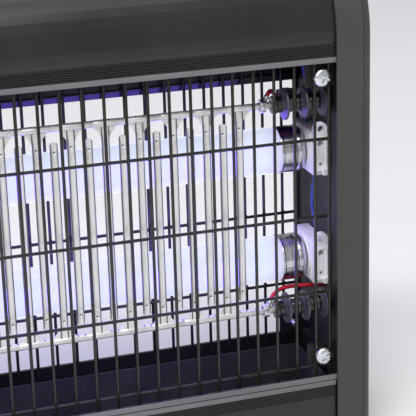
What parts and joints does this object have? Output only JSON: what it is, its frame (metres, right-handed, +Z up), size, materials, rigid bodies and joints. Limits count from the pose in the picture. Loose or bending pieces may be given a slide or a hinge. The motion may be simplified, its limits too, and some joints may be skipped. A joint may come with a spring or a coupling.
{
  "type": "electric bug zapper",
  "caption": "Electric bug zapper with glowing tube lamps behind a high-voltage electrode grid, wire guards front and rear, and a slide-out catch tray.",
  "frame": {"origin": "under the middle of the case, on the surface it stands on", "axes": "+X to the right seen from the front, -Y towards the front, +Z up"},
  "size_m": [0.4946, 0.071, 0.2818],
  "materials": {
    "profile_paint": "semi-gloss black paint on extruded aluminium",
    "cheek_plastic": "fine-grained moulded plastic",
    "black_sheet": "satin black paint on steel sheet",
    "guard_wire": "gloss black coating on welded wire",
    "zinc_steel": "bright zinc plate",
    "lamp_glass": "phosphor-coated glass, lit",
    "lamp_cap": "spun, bright",
    "white_plastic": "moulded white plastic",
    "electrode_metal": "plated strip, pressed",
    "insulator_plastic": "moulded gloss black",
    "red_sleeve": "high-voltage sleeve",
    "blue_sleeve": "lead sleeve",
    "tray_paint": "satin paint on steel sheet",
    "ballast_case": "white enamel",
    "transformer_core": "varnished laminations",
    "terminal_plastic": "natural moulded plastic",
    "black_plastic": "moulded black plastic"
  },
  "bodies": {
    "case": {"top_profile": "profile_paint", "gear_tray": "black_sheet", "bottom_chassis": "profile_paint", "front_guard": "guard_wire", "rear_guard": "guard_wire", "ballast": "ballast_case", "ht_transformer": "transformer_core", "terminal_block": "terminal_plastic", "cable_gland": "black_plastic", "upper_electrode_comb": "electrode_metal", "lower_electrode_comb": "electrode_metal", "upper_terminal": "zinc_steel", "lower_terminal": "zinc_steel", "upper_high_voltage_lead": "red_sleeve", "lower_high_voltage_lead": "red_sleeve", "right_cheek": "cheek_plastic", "right_side_plate": "black_sheet", "right_cheek_screw": "zinc_steel", "right_upper_lampholder": "white_plastic", "right_upper_insulator": "insulator_plastic", "right_lower_lampholder": "white_plastic", "right_lower_insulator": "insulator_plastic", "right_front_upper_guard_screw": "zinc_steel", "right_front_lower_guard_screw": "zinc_steel", "right_rear_upper_guard_screw": "zinc_steel", "right_rear_lower_guard_screw": "zinc_steel", "right_lamp_feed_lead": "blue_sleeve", "right_lamp_link_lead": "blue_sleeve", "left_cheek": "cheek_plastic", "left_side_plate": "black_sheet", "left_cheek_screw": "zinc_steel", "left_upper_lampholder": "white_plastic", "left_upper_insulator": "insulator_plastic", "left_lower_lampholder": "white_plastic", "left_lower_insulator": "insulator_plastic", "left_front_upper_guard_screw": "zinc_steel", "left_front_lower_guard_screw": "zinc_steel", "left_rear_upper_guard_screw": "zinc_steel", "left_rear_lower_guard_screw": "zinc_steel", "left_lamp_feed_lead": "blue_sleeve", "left_lamp_link_lead": "blue_sleeve", "switch_housing": "black_plastic", "left_hanger_saddle": "zinc_steel", "right_hanger_saddle": "zinc_steel"},
    "tray": {"tray_pan": "tray_paint", "tray_front": "profile_paint"},
    "upper_lamp": {"upper_lamp_tube": "lamp_glass", "right_upper_lamp_cap": "lamp_cap", "right_upper_rotor": "white_plastic", "left_upper_lamp_cap": "lamp_cap", "left_upper_rotor": "white_plastic"},
    "lower_lamp": {"lower_lamp_tube": "lamp_glass", "right_lower_lamp_cap": "lamp_cap", "right_lower_rotor": "white_plastic", "left_lower_lamp_cap": "lamp_cap", "left_lower_rotor": "white_plastic"},
    "rocker": {"switch_rocker": "black_plastic"},
    "left_bail": {"left_hanger_bail": "zinc_steel"},
    "right_bail": {"right_hanger_bail": "zinc_steel"}
  },
  "joints": [
    {"name": "tray_slide", "type": "slide", "parent": "case", "child": "tray", "axis": [0, -1, 0], "range_m": [0, 0.055]},
    {"name": "upper_lamp_turn", "type": "hinge", "parent": "case", "child": "upper_lamp", "pos_m": [0, 0, 0.167], "axis": [1, 0, 0], "range_deg": [0, 90]},
    {"name": "lower_lamp_turn", "type": "hinge", "parent": "case", "child": "lower_lamp", "pos_m": [0, 0, 0.103], "axis": [1, 0, 0], "range_deg": [0, 90]},
    {"name": "switch_rock", "type": "hinge", "parent": "case", "child": "rocker", "pos_m": [-0.2427, 0, 0.225], "axis": [0, 1, 0], "range_deg": [0, 14]},
    {"name": "left_bail_swing", "type": "hinge", "parent": "case", "child": "left_bail", "pos_m": [-0.165, 0, 0.2723], "axis": [1, 0, 0], "range_deg": [0, 180]},
    {"name": "right_bail_swing", "type": "hinge", "parent": "case", "child": "right_bail", "pos_m": [0.165, 0, 0.2723], "axis": [1, 0, 0], "range_deg": [0, 180]}
  ]
}
